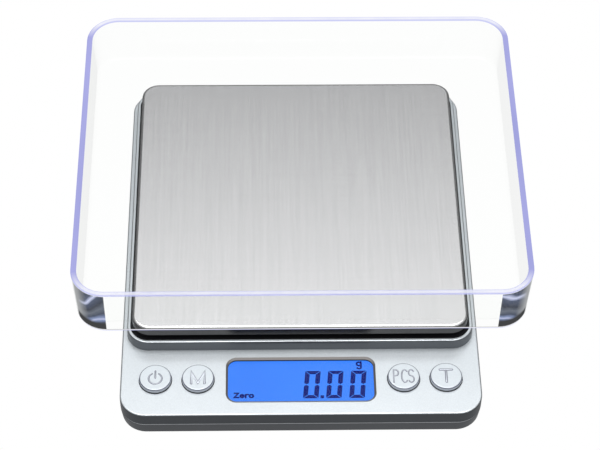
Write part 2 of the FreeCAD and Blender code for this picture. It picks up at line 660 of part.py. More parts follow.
def load_cell():
    """Aluminium bending beam with two joined eyes that thin it above and below."""
    y0, y1 = WELL_Y - BEAM_D / 2, WELL_Y + BEAM_D / 2
    beam = box(-BEAM_L / 2, BEAM_L / 2, y0, y1, BEAM_Z0, BEAM_Z1)
    eye_z = (BEAM_Z0 + BEAM_Z1) / 2
    cuts = [box(-BEAM_EYE_X, BEAM_EYE_X, y0, y1, eye_z - BEAM_SLOT_H / 2, eye_z + BEAM_SLOT_H / 2)]
    for x in (-BEAM_EYE_X, BEAM_EYE_X):
        start = FreeCAD.Vector(x, y0, eye_z)
        cuts.append(Part.makeCylinder(BEAM_EYE_R, BEAM_D, start, FreeCAD.Vector(0, 1, 0)))
    for x in BEAM_SCREW_X:
        cuts.append(rod(-x, WELL_Y, BEAM_Z0, BEAM_Z1 - BEAM_SKIN, M3_R + FIT))
        cuts.append(rod(x, WELL_Y, BEAM_Z0 + BEAM_SKIN, BEAM_Z1, M3_R + FIT))
    return beam.cut(cuts)


def strain_gauges():
    """Sealant pads over the gauges on the beam's upper and lower faces."""
    pads = []
    for face_z, free_z in ((BEAM_Z1, BEAM_Z1 + GAUGE_PAD_T), (BEAM_Z0, BEAM_Z0 - GAUGE_PAD_T)):
        pad = slab(*GAUGE_PAD, min(face_z, free_z), max(face_z, free_z), (0.0, WELL_Y))
        pads.append(soften(pad, free_z, GAUGE_PAD_T / 2))
    return Part.makeCompound(pads)


def load_cell_screws():
    return Part.makeCompound([pan_head_screw(-x, WELL_Y, BEAM_HEAD_SEAT_Z, BEAM_HEAD_SEAT_Z - M3_HEAD_T,
                                             BEAM_TIP_Z, M3_HEAD_R, M3_R) for x in BEAM_SCREW_X])


def load_cell_wires():
    """Four fine leads from the upper pad, over the beam's side and forward to the board."""
    runs = []
    for i in range(4):
        x = -7.0 + 1.1 * i
        pad_x = -14.0 + 2.2 * i
        runs.append(wire_run([(x, 6.0, 13.2), (x, 4.3, 12.9), (x - 0.5, 3.5, 11.5), (x - 1.5, 0.0, 6.0),
                              (pad_x, -16.0, 4.8), (pad_x, -29.0, 5.2)], GAUGE_LEAD_R))
    return Part.makeCompound(runs)


# Platform

def load_cell_spacer():
    """Block between the beam's free end and the platform's frame."""
    half_d = (BEAM_D - 2.0) / 2
    block = box(SPACER_X0, SPACER_X1, WELL_Y - half_d, WELL_Y + half_d, BEAM_Z1, FRAME_Z0)
    return block.cut([rod(x, WELL_Y, BEAM_Z1, FRAME_Z0, M3_R + FIT) for x in BEAM_SCREW_X])


def platform_screws():
    head_end_z = PLATFORM_HEAD_SEAT_Z + M3_HEAD_T
    return Part.makeCompound([pan_head_screw(x, WELL_Y, PLATFORM_HEAD_SEAT_Z, head_end_z, PLATFORM_TIP_Z,
                                             M3_HEAD_R, M3_R) for x in BEAM_SCREW_X])


def platform_frame():
    """Stiff moulded carrier under the steel: skin, rim, a grid of ribs and a boss over the spacer."""
    centre = (0.0, WELL_Y)
    inset = PLATE_T + FRAME_GAP
    width, depth, radius = PLATE_W - 2 * inset, PLATE_D - 2 * inset, PLATE_R - inset
    block = slab(width, depth, radius, FRAME_Z0, FRAME_Z1, centre)
    hollow = slab(width - 2 * FRAME_RIM, depth - 2 * FRAME_RIM, radius - FRAME_RIM, FRAME_Z0, FRAME_SKIN_Z,
                  centre)
    pieces = [block.cut(hollow)]
    reach_x, reach_y = width / 2 - FRAME_RIM / 2, depth / 2 - FRAME_RIM / 2
    for i in range(-RIBS_EACH_SIDE, RIBS_EACH_SIDE + 1):
        near, far = RIB_PITCH * i - RIB_T / 2, RIB_PITCH * i + RIB_T / 2
        pieces.append(box(near, far, WELL_Y - reach_y, WELL_Y + reach_y, FRAME_Z0, FRAME_SKIN_Z))
        pieces.append(box(-reach_x, reach_x, WELL_Y + near, WELL_Y + far, FRAME_Z0, FRAME_SKIN_Z))
    pieces.append(slab(*FRAME_BOSS, FRAME_Z0, FRAME_SKIN_Z, (FRAME_BOSS_X, WELL_Y)))
    holes = [stepped_hole(x, WELL_Y, FRAME_Z1, PLATFORM_HEAD_SEAT_Z, FRAME_Z0, M3_HEAD_R + LOOSE, M3_R + FIT)
             for x in BEAM_SCREW_X]
    return fuse(pieces).cut(holes)


def platform_tape():
    """Double-sided sheet that holds the steel to the carrier."""
    return slab(TAPE_SIDE, TAPE_SIDE, TAPE_R, FRAME_Z1, PLATE_Z1 - PLATE_T, (0.0, WELL_Y))


def platform_plate():
    """Thin steel pan, turned down all round with a rolled upper edge."""
    centre = (0.0, WELL_Y)
    outside = soften(slab(PLATE_W, PLATE_D, PLATE_R, PLATE_Z0, PLATE_Z1, centre), PLATE_Z1, PLATE_EDGE_R)
    skin_z = PLATE_Z1 - PLATE_T
    inside = slab(PLATE_W - 2 * PLATE_T, PLATE_D - 2 * PLATE_T, PLATE_R - PLATE_T, PLATE_Z0, skin_z, centre)
    inside = soften(inside, skin_z, PLATE_EDGE_R - PLATE_T)
    return outside.cut(inside)


def clear_tray():
    """Shallow open tray with drafted walls, a rounded heel and a softened rim."""
    centre = (TRAY_X, TRAY_Y)
    base_z, rim_z, floor_z = TRAY_Z0, TRAY_Z0 + TRAY_H, TRAY_Z0 + TRAY_FLOOR
    floor_draft = 2 * TRAY_DRAFT * (1 - TRAY_FLOOR / TRAY_H)
    base = outline(TRAY_W - 2 * TRAY_DRAFT, TRAY_D - 2 * TRAY_DRAFT, TRAY_R - TRAY_DRAFT, base_z, centre)
    rim = outline(TRAY_W, TRAY_D, TRAY_R, rim_z, centre)
    outside = soften(drafted(base, rim), base_z, TRAY_HEEL_R)
    inner_w, inner_d, inner_r = TRAY_W - 2 * TRAY_WALL, TRAY_D - 2 * TRAY_WALL, TRAY_R - TRAY_WALL
    floor = outline(inner_w - floor_draft, inner_d - floor_draft, inner_r - floor_draft / 2, floor_z, centre)
    mouth = outline(inner_w, inner_d, inner_r, rim_z, centre)
    inside = soften(drafted(floor, mouth), floor_z, TRAY_INNER_R)
    return soften(outside.cut(inside), rim_z, TRAY_LIP_R)


# Export

def all_parts():
    """Every named piece of the scale."""
    parts = {
        "bottom_housing": bottom_housing(),
        "top_housing": top_housing(),
        "housing_screws": housing_screws(),
        "display_lens": display_lens(),
        "display_tape": display_tape(),
        "lcd_panel": lcd_panel(),
        "lcd_backlight": lcd_backlight(),
        "lcd_connector": lcd_connector(),
        "main_circuit_board": main_circuit_board(),
        "controller_chip": controller_chip(),
        "board_components": board_components(),
        "board_screws": board_screws(),
        "battery_front": battery(CELL_Y[0], 1),
        "battery_rear": battery(CELL_Y[1], -1),
        "battery_link_contact": battery_link_contact(),
        "battery_negative_contact": battery_negative_contact(),
        "battery_positive_contact": battery_positive_contact(),
        "battery_lead_black": battery_lead(CELL_Y[0], -38.0, -38.0),
        "battery_lead_red": battery_lead(CELL_Y[1], -42.0, -41.0),
        "battery_door": battery_door(),
        "load_cell": load_cell(),
        "strain_gauges": strain_gauges(),
        "load_cell_screws": load_cell_screws(),
        "load_cell_wires": load_cell_wires(),
        "load_cell_spacer": load_cell_spacer(),
        "platform_screws": platform_screws(),
        "platform_frame": platform_frame(),
        "platform_tape": platform_tape(),
        "platform_plate": platform_plate(),
        "clear_tray": clear_tray(),
    }
    for front_back, sy in (("front", -1), ("rear", 1)):
        for left_right, sx in (("left", -1), ("right", 1)):
            parts[f"foot_{front_back}_{left_right}"] = foot(sx * FOOT_AT[0], sy * FOOT_AT[1])
    for name, x in KEY_X.items():
        parts[f"{name}_switch"] = switch_body(x)
        parts[f"{name}_plunger"] = plunger(x)
        parts[f"{name}_key"] = key_cap(x)
    return parts


os.makedirs("parts", exist_ok=True)
for node, shape in all_parts().items():
    shape.exportStep(f"parts/{node}.step")
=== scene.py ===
import math

import bmesh
import bpy
from mathutils import Matrix, Vector

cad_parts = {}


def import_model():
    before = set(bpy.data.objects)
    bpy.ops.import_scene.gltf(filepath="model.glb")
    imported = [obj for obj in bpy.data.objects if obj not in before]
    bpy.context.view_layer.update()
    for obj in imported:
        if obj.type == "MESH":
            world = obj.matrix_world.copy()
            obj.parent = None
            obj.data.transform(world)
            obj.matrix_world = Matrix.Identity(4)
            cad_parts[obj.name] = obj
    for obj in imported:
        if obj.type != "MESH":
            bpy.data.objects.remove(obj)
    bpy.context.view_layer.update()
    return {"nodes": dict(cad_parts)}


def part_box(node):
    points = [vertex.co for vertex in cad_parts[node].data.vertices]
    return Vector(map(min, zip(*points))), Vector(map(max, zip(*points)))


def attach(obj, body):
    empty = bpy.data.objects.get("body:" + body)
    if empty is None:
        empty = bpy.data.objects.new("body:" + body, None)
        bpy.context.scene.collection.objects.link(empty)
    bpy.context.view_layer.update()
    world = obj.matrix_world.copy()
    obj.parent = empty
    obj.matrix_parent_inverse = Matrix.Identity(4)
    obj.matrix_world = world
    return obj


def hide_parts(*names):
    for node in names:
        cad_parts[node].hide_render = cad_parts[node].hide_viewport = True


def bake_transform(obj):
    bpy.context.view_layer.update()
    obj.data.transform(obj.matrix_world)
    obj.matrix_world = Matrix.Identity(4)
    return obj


# Digital pocket gram scale with a clear tray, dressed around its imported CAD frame. Metres.

MM = 0.001

# Camera: a long lens looking down at the front of the scale
SENSOR_MM = 36.0
LENS_MM = 122.682
PITCH_DEG = 49.724
YAW_DEG = -1.52
ROLL_DEG = 0.837
DISTANCE = 0.63414
AIM = Vector((0.0, -0.0007, 0.010))
SHIFT_RIGHT = 0.000522
SHIFT_UP = 0.006556

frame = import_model()
NODES = frame["nodes"]
KEYS = ("power", "mode", "count", "tare")

# Places the finishes follow, read from the CAD frame
HOUSING_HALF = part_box("top_housing")[1]
WELL_Y = 10.7 * MM
WELL_HALF = 50.55 * MM
WELL_R = 5.5 * MM
HOUSING_R = 7.5 * MM
RIM_Z = 14.0 * MM
PANEL_Z = 10.35 * MM
WINDOW_Y = -51.9 * MM
WINDOW_Z = 9.95 * MM
BEZEL_HALF = Vector((22.05, 8.15)) * MM
BEZEL_R = 3.2 * MM
TRAY_R = 10.0 * MM
TRAY_LOW, TRAY_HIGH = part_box("clear_tray")
TRAY_MID = (TRAY_LOW + TRAY_HIGH) / 2
TRAY_HALF = (TRAY_HIGH - TRAY_LOW) / 2
TRAY_BASE_Z = TRAY_LOW.z
TRAY_RIM_Z = TRAY_HIGH.z

# Key legends and display marks
LEGEND_RISE = 0.17 * MM
LEGEND_SINK = 0.01 * MM
RIDGE_STEPS = 6
CAP_TURNS = (35.0, 65.0, 86.0)
DIGIT_LEFTS = (0.52 * MM, 7.28 * MM, 14.08 * MM)
DIGIT_BOTTOM = -57.55 * MM
DIGIT_W = 4.55 * MM
DIGIT_H = 9.85 * MM
DIGIT_STROKE = (1.38 * MM, 1.15 * MM)
DIGIT_GAP = 0.14 * MM
DIGIT_SLANT = 0.088
POINT_AT = (6.2 * MM, -57.05 * MM)
POINT_SIDE = 1.05 * MM
MARK_Z0 = 8.76 * MM
MARK_Z1 = 8.79 * MM
WORD_STROKE = 0.54 * MM

# Looks shared by several materials and the stage
WHITE = (1.0, 1.0, 1.0, 1.0)
# near-black plastic; in the shell's well and openings it also serves as painted shade
BLACK_PLASTIC_AND_SHADE = (0.012, 0.012, 0.014)
LACQUER_ROUGH = 0.30
KEY_ROUGH = 0.34
DISPLAY_GLOW = 0.95
ACRYLIC_IOR = 1.49
WALL_SHINE = 0.3
HEEL_SPAN = 3.0 * MM
HEEL_TOP = 1.02 * MM
STUDIO_TINT = (0.965, 0.985, 1.0, 1.0)
FLOOR_HALF = 3.0


# Node helpers

class Graph:
    """Small helper that adds and links shader nodes."""

    def __init__(self, tree):
        self.tree = tree
        tree.nodes.clear()

    def add(self, kind, settings=None, **inputs):
        node = self.tree.nodes.new(kind)
        for key, value in (settings or {}).items():
            setattr(node, key, value)
        for key, value in inputs.items():
            self.feed(node, key.replace("_", " "), value)
        return node

    def feed(self, node, key, value):
        socket = node.inputs[int(key[1:])] if key[0] == "#" else node.inputs[key]
        if isinstance(value, bpy.types.NodeSocket):
            self.tree.links.new(value, socket)
        else:
            socket.default_value = value

    def math(self, operation, a, b=0.0, c=0.0, clamp=False):
        node = self.add("ShaderNodeMath", {"operation": operation, "use_clamp": clamp})
        for index, value in enumerate((a, b, c)):
            self.feed(node, f"#{index}", value)
        return node.outputs[0]

    def ramp(self, factor, stops):
        node = self.add("ShaderNodeValToRGB")
        elements = node.color_ramp.elements
        while len(elements) < len(stops):
            elements.new(0.5)
        for element, (position, colour) in zip(elements, stops):
            element.position = position
            element.color = colour if len(colour) == 4 else (*colour, 1.0)
        self.feed(node, "Fac", factor)
        return node.outputs["Color"]

    def grey_ramp(self, factor, stops):
        return self.ramp(factor, [(p, (v, v, v, 1.0)) for p, v in stops])

    def mix(self, factor, a, b, blend="MIX"):
        node = self.add("ShaderNodeMix", {"data_type": "RGBA", "blend_type": blend})
        self.feed(node, "#0", factor)
        self.feed(node, "#6", a)
        self.feed(node, "#7", b)
        return node.outputs[2]

    def noise(self, vector, scale, detail=3.0, roughness=0.5):
        node = self.add("ShaderNodeTexNoise", Scale=scale, Detail=detail, Roughness=roughness)
        self.feed(node, "Vector", vector)
        return node.outputs["Fac"]

    def stretched(self, vector, scale):
        node = self.add("ShaderNodeMapping", Scale=scale)
        self.feed(node, "Vector", vector)
        return node.outputs["Vector"]

    def bump(self, height, distance):
        node = self.add("ShaderNodeBump", Strength=1.0, Distance=distance)
        self.feed(node, "Height", height)
        return node.outputs["Normal"]

    def place(self):
        return self.add("ShaderNodeTexCoord").outputs["Object"]

    def split(self, vector):
        node = self.add("ShaderNodeSeparateXYZ")
        self.feed(node, "Vector", vector)
        return node.outputs["X"], node.outputs["Y"], node.outputs["Z"]

    def facing_up(self):
        """How far the surface looks up: 1 level, 0 upright, -1 underneath."""
        return self.split(self.add("ShaderNodeNewGeometry").outputs["Normal"])[2]

    def rise(self, value, start, end):
        """0 where the value is at start, 1 where it is at end, straight in between."""
        span = end - start
        return self.math("MULTIPLY_ADD", value, 1.0 / span, -start / span, clamp=True)

    def away(self, value, centre):
        """Distance from a centre along one axis."""
        return self.math("ABSOLUTE", self.math("SUBTRACT", value, centre))

    def past_outline(self, x, y, centre, half_x, half_y, radius):
        """Distance outside a rounded rectangle, negative inside it."""
        out_x = self.math("SUBTRACT", self.away(x, centre[0]), half_x - radius)
        out_y = self.math("SUBTRACT", self.away(y, centre[1]), half_y - radius)
        apart = self.add("ShaderNodeCombineXYZ", X=self.math("MAXIMUM", out_x, 0.0),
                         Y=self.math("MAXIMUM", out_y, 0.0))
        reach = self.add("ShaderNodeVectorMath", {"operation": "LENGTH"})
        self.feed(reach, "#0", apart.outputs[0])
        inside = self.math("MINIMUM", self.math("MAXIMUM", out_x, out_y), 0.0)
        return self.math("SUBTRACT", self.math("ADD", reach.outputs["Value"], inside), radius)

    def blend(self, factor, a, b):
        node = self.add("ShaderNodeMixShader")
        for index, value in enumerate((factor, a, b)):
            self.feed(node, f"#{index}", value)
        return node.outputs[0]

    def glow(self, colour):
        node = self.add("ShaderNodeEmission", Strength=1.0)
        self.feed(node, "Color", colour)
        return node.outputs[0]


def new_material(name):
    material = bpy.data.materials.new(name)
    material.use_nodes = True
    return material, Graph(material.node_tree)


def finish_material(graph, shader):
    out = graph.add("ShaderNodeOutputMaterial")
    graph.tree.links.new(shader, out.inputs["Surface"])


def principled(graph, **inputs):
    node = graph.add("ShaderNodeBsdfPrincipled")
    for key, value in inputs.items():
        graph.feed(node, key.replace("_", " "), value)
    return node.outputs[0]


def new_object(name, data):
    obj = bpy.data.objects.new(name, data)
    bpy.context.scene.collection.objects.link(obj)
    return obj


def paint(obj, material):
    obj.data.materials.clear()
    obj.data.materials.append(material)


# Materials

def coloured(colour):
    return (*colour, 1.0)


def lacquer(g, place, base):
    """Silver lacquer with fine flakes; upright walls get painted shade, a quarter as bright as level faces,
    as if lit from above.
    """
    cells = g.add("ShaderNodeTexVoronoi", {"feature": "F1"}, Scale=4200.0)
    g.feed(cells, "Vector", place)
    flakes = g.grey_ramp(cells.outputs["Color"], [(0.0, 0.95), (0.5, 1.0), (1.0, 1.05)])
    drift = g.grey_ramp(g.noise(place, 40.0), [(0.3, 0.98), (0.7, 1.02)])
    # painted shade: this factor is 1 on level faces and 0 on upright walls, which are darkened as if the
    # light fell from above
    level_lit = g.rise(g.math("ABSOLUTE", g.facing_up()), 0.40, 0.98)
    colour = g.mix(1.0, g.mix(1.0, base, flakes, "MULTIPLY"), drift, "MULTIPLY")
    colour = g.mix(level_lit, g.mix(1.0, colour, (0.24, 0.24, 0.25, 1.0), "MULTIPLY"), colour)
    rough = g.math("MULTIPLY_ADD", g.noise(place, 300.0), 0.06, LACQUER_ROUGH - 0.03)
    metallic = g.math("MULTIPLY_ADD", level_lit, -0.38, 0.94)
    peel = g.bump(g.noise(place, 900.0, 2.0), 0.003 * MM)
    return principled(g, Base_Color=colour, Metallic=metallic, Roughness=rough, Normal=peel,
                      Coat_Weight=0.12, Coat_Roughness=0.25)


def silver_lacquer(name, base):
    material, g = new_material(name)
    finish_material(g, lacquer(g, g.place(), coloured(base)))
    return material


def key_cap(name, base):
    """Silver key with painted light and shade: bright flat top, a painted dark line round the shoulder, and
    the wall painted darker down into the gap round it.
    """
    material, g = new_material(name)
    place = g.place()
    up = g.facing_up()
    height = g.split(place)[2]
    speckle = g.grey_ramp(g.noise(place, 2600.0, 2.0), [(0.3, 0.97), (0.7, 1.03)])
    # painted light and shade by slope: upright wall light grey, a painted dark line round the shoulder, flat
    # top left bright
    shoulder_painted_shade = g.ramp(up, [(0.0, (0.95, 0.95, 1.0)), (0.30, (0.95, 0.95, 1.0)), (0.5, (0.22, 0.22, 0.30)),
                           (0.86, (0.12, 0.12, 0.18)), (0.985, (1.0, 1.0, 1.0))])
    # painted shade: the wall darkens to near-black down into the gap round the key
    gap = g.rise(height, PANEL_Z + 0.40 * MM, PANEL_Z + 0.20 * MM)
    colour = g.mix(1.0, g.mix(1.0, coloured(base), speckle, "MULTIPLY"), shoulder_painted_shade, "MULTIPLY")
    colour = g.mix(gap, colour, (0.012, 0.012, 0.02, 1.0))
    top = g.rise(up, 0.9, 0.99)
    finish_material(g, principled(g, Base_Color=colour, Metallic=g.math("MULTIPLY", top, 0.6),
                                  Roughness=KEY_ROUGH, Normal=g.bump(g.noise(place, 900.0, 2.0), 0.002 * MM)))
    return material


def painted_shell(name, base, bezel_far_shade):
    """Silver lacquer outside; inside the well and the openings the bare plastic is made near-black as painted
    shade, and the bezel is painted darker towards its back as painted shade.
    """
    material, g = new_material(name)
    place = g.place()
    x, y, z = g.split(place)
    # painted shade: the well below its rim and the sunk walls of the openings take the near-black plastic,
    # partly bare plastic and partly the shade that falls there
    from_well = g.past_outline(x, y, (0.0, WELL_Y), WELL_HALF, WELL_HALF, WELL_R)
    well = g.math("MULTIPLY", g.rise(from_well, 0.25 * MM, 0.1 * MM),
                  g.rise(z, RIM_Z - 0.15 * MM, RIM_Z - 0.3 * MM))
    from_wall = g.past_outline(x, y, (0.0, 0.0), HOUSING_HALF.x, HOUSING_HALF.y, HOUSING_R)
    sunk = g.math("MULTIPLY", g.rise(from_wall, -1.0 * MM, -1.4 * MM),
                  g.rise(z, PANEL_Z - 0.05 * MM, PANEL_Z - 0.2 * MM))
    from_bezel = g.past_outline(x, y, (0.0, WINDOW_Y), BEZEL_HALF.x, BEZEL_HALF.y, BEZEL_R)
    bezel = g.math("MULTIPLY", g.rise(from_bezel, 0.05 * MM, -0.02 * MM),
                   g.rise(z, WINDOW_Z - 0.05 * MM, WINDOW_Z + 0.02 * MM))
    bare_and_shaded = g.math("MAXIMUM", well, g.math("MULTIPLY", sunk, g.math("SUBTRACT", 1.0, bezel)))
    # painted shade: the bezel chamfer stays silver at its front edge and turns grey-brown towards the back,
    # standing for the dark room it reflects
    front_edge = WINDOW_Y - BEZEL_HALF.y
    bezel_painted_shade = g.mix(g.rise(y, front_edge + 3.0 * MM, front_edge), coloured(bezel_far_shade), coloured(base))
    painted = lacquer(g, place, g.mix(bezel, coloured(base), bezel_painted_shade))
    grain = g.noise(place, 700.0, 4.0)
    dark = principled(g, Base_Color=coloured(BLACK_PLASTIC_AND_SHADE), Roughness=g.math("MULTIPLY_ADD", grain, 0.2, 0.5),
                      Normal=g.bump(grain, 0.02 * MM), Specular_IOR_Level=0.2)
    finish_material(g, g.blend(bare_and_shaded, painted, dark))
    return material


def plastic(name, base, roughness=0.5, grain=700.0, bump=0.02 * MM, coat=0.0):
    """Moulded plastic: spark-eroded grain and a faint tone drift."""
    material, g = new_material(name)
    place = g.place()
    drift = g.grey_ramp(g.noise(place, 60.0), [(0.3, 0.93), (0.7, 1.05)])
    colour = g.mix(1.0, coloured(base), drift, "MULTIPLY")
    fine = g.noise(place, grain, 4.0)
    rough = g.math("MULTIPLY_ADD", fine, 0.15, roughness - 0.07)
    finish_material(g, principled(g, Base_Color=colour, Roughness=rough, Normal=g.bump(fine, bump),
                                  Coat_Weight=coat))
    return material


def rubber(name, base):
    """Soft rubber: dusty bloom over a dull dark base."""
    material, g = new_material(name)
    place = g.place()
    bloom = g.grey_ramp(g.noise(place, 220.0, 5.0, 0.7), [(0.35, 0.8), (0.75, 1.9)])
    fine = g.noise(place, 1500.0, 3.0)
    finish_material(g, principled(g, Base_Color=g.mix(1.0, coloured(base), bloom, "MULTIPLY"), Roughness=0.85,
                                  Normal=g.bump(fine, 0.04 * MM)))
    return material


def striped_rubber(name):
    """Contact strip: thin conducting layers between plain ones, side by side along X."""
    material, g = new_material(name)
    place = g.place()
    x = g.split(place)[0]
    layer = g.math("PINGPONG", x, 0.15 * MM)
    dark = g.rise(layer, 0.05 * MM, 0.09 * MM)
    colour = g.mix(dark, (0.42, 0.40, 0.36, 1.0), (0.02, 0.02, 0.02, 1.0))
    finish_material(g, principled(g, Base_Color=colour, Roughness=0.7,
                                  Normal=g.bump(g.noise(place, 900.0), 0.02 * MM)))
    return material


def brushed_metal(name, base, roughness, depth=0.01 * MM):
    """Sheet metal with long fine brushing one way, crossed by fainter lines; upright faces such as the rolled
    skirt get painted shade.
    """
    material, g = new_material(name)
    place = g.place()
    down = g.noise(g.stretched(place, (2600.0, 40.0, 40.0)), 1.0, 4.0, 0.6)
    across = g.noise(g.stretched(place, (40.0, 2200.0, 40.0)), 1.0, 4.0, 0.6)
    streak = g.noise(g.stretched(place, (900.0, 9.0, 9.0)), 1.0, 3.0)
    band = g.noise(g.stretched(place, (6.0, 700.0, 9.0)), 1.0, 3.0)
    weave = g.math("MULTIPLY_ADD", down, 0.78, g.math("MULTIPLY", across, 0.22))
    tone = g.grey_ramp(weave, [(0.34, 0.955), (0.66, 1.03)])
    wide = g.grey_ramp(g.math("MULTIPLY_ADD", streak, 0.62, g.math("MULTIPLY", band, 0.38)),
                       [(0.36, 0.982), (0.64, 1.014)])
    # painted shade: upright faces are darkened down to about a sixth, level faces keep their colour
    upright_painted_shade = g.grey_ramp(g.math("ABSOLUTE", g.facing_up()), [(0.0, 0.16), (0.5, 0.35), (0.92, 1.0)])
    colour = g.mix(1.0, g.mix(1.0, coloured(base), tone, "MULTIPLY"), wide, "MULTIPLY")
    colour = g.mix(1.0, colour, upright_painted_shade, "MULTIPLY")
    rough = g.math("MULTIPLY_ADD", weave, 0.08, roughness - 0.04)
    finish_material(g, principled(g, Base_Color=colour, Metallic=1.0, Roughness=rough,
                                  Normal=g.bump(weave, depth)))
    return material


def plated(name, base, roughness=0.28):
    """Plated metal: cloudy roughness and a few dull specks."""
    material, g = new_material(name)
    place = g.place()
    cloud = g.noise(place, 250.0, 4.0, 0.6)
    specks = g.grey_ramp(g.noise(place, 1900.0, 2.0), [(0.62, 1.0), (0.75, 0.7)])
    colour = g.mix(1.0, coloured(base), specks, "MULTIPLY")
    rough = g.math("MULTIPLY_ADD", cloud, 0.25, roughness - 0.12)
    finish_material(g, principled(g, Base_Color=colour, Metallic=1.0, Roughness=rough,
                                  Normal=g.bump(cloud, 0.01 * MM)))
    return material


def circuit_board(name):
    """Green solder mask with slightly raised copper tracks showing through."""
    material, g = new_material(name)
    place = g.place()
    bricks = g.add("ShaderNodeTexBrick", {"offset": 0.37}, Scale=170.0, Mortar_Size=0.06)
    g.feed(bricks, "Vector", place)
    tracks = g.math("SUBTRACT", 1.0, bricks.outputs["Fac"])
    cloud = g.noise(place, 90.0, 3.0)
    mask = g.mix(cloud, (0.004, 0.050, 0.018, 1.0), (0.008, 0.085, 0.030, 1.0))
    colour = g.mix(tracks, (0.020, 0.150, 0.050, 1.0), mask)
    finish_material(g, principled(g, Base_Color=colour, Roughness=0.35, Coat_Weight=0.4,
                                  Normal=g.bump(tracks, 0.03 * MM)))
    return material


def chip_mix(name):
    """Small board parts: each loose piece takes its own body colour, with a fine moulded grain."""
    material, g = new_material(name)
    place = g.place()
    island = g.add("ShaderNodeNewGeometry").outputs["Random Per Island"]
    colour = g.ramp(island, [(0.0, (0.015, 0.015, 0.017)), (0.35, (0.22, 0.15, 0.09)),
                             (0.6, (0.40, 0.38, 0.35)), (1.0, (0.03, 0.03, 0.035))])
    fine = g.noise(place, 1200.0, 3.0)
    finish_material(g, principled(g, Base_Color=colour, Roughness=g.math("MULTIPLY_ADD", fine, 0.2, 0.35),
                                  Normal=g.bump(fine, 0.02 * MM)))
    return material


def wire_bundle(name):
    """Four leads, each its own colour of insulation."""
    material, g = new_material(name)
    island = g.add("ShaderNodeNewGeometry").outputs["Random Per Island"]
    colour = g.ramp(island, [(0.0, (0.45, 0.02, 0.02)), (0.3, (0.02, 0.02, 0.02)), (0.55, (0.03, 0.30, 0.08)),
                             (0.8, (0.75, 0.75, 0.72))])
    fine = g.noise(g.place(), 500.0, 3.0)
    finish_material(g, principled(g, Base_Color=g.mix(0.2, colour, fine, "MULTIPLY"), Roughness=0.45,
                                  Normal=g.bump(fine, 0.02 * MM)))
    return material


def battery_wrap(name, mirrored):
    """Shrink-wrapped cell: dark sleeve, copper-coloured band at the nub end, bare metal at both ends."""
    material, g = new_material(name)
    place = g.place()
    x = g.split(place)[0]
    along = g.math("MULTIPLY", x, -1.0 if mirrored else 1.0)
    sleeve = g.mix(g.rise(along, 9.0 * MM, 9.2 * MM), (0.014, 0.015, 0.018, 1.0), (0.50, 0.22, 0.07, 1.0))
    ends = g.math("MAXIMUM", g.rise(along, -20.7 * MM, -20.85 * MM), g.rise(along, 22.5 * MM, 22.7 * MM))
    film = g.noise(place, 120.0, 3.0)
    wrap = principled(g, Base_Color=g.mix(0.25, sleeve, film, "MULTIPLY"), Roughness=0.3, Coat_Weight=0.5,
                      Normal=g.bump(film, 0.06 * MM))
    metal = principled(g, Base_Color=(0.62, 0.60, 0.56, 1.0), Metallic=1.0,
                       Roughness=g.math("MULTIPLY_ADD", film, 0.2, 0.25))
    finish_material(g, g.blend(ends, wrap, metal))
    return material


def rippled_clear(g, place, tint):
    """Thin clear wall: light goes straight on, a faint reflection lies over it."""
    clear = g.add("ShaderNodeBsdfTransparent", Color=coloured(tint)).outputs[0]
    gloss = g.add("ShaderNodeBsdfGlossy", Roughness=0.04)
    g.feed(gloss, "Normal", g.bump(g.noise(place, 60.0, 2.0), 0.01 * MM))
    fresnel = g.add("ShaderNodeFresnel", IOR=ACRYLIC_IOR).outputs[0]
    geometry = g.add("ShaderNodeNewGeometry")
    front = g.math("SUBTRACT", 1.0, geometry.outputs["Backfacing"])
    share = g.math("MULTIPLY", g.math("MULTIPLY", fresnel, WALL_SHINE), front)
    return g.blend(share, clear, gloss.outputs[0])


def seen_directly(g):
    """1 for rays that look at the surface, 0 for shadow rays and rough bounces, which pass straight on."""
    path = g.add("ShaderNodeLightPath")
    return g.math("MAXIMUM", path.outputs["Is Camera Ray"], path.outputs["Is Singular Ray"])


def clear_plain(name, tint):
    material, g = new_material(name)
    passing = g.add("ShaderNodeBsdfTransparent", Color=coloured(tint)).outputs[0]
    finish_material(g, g.blend(seen_directly(g), passing, rippled_clear(g, g.place(), tint)))
    return material


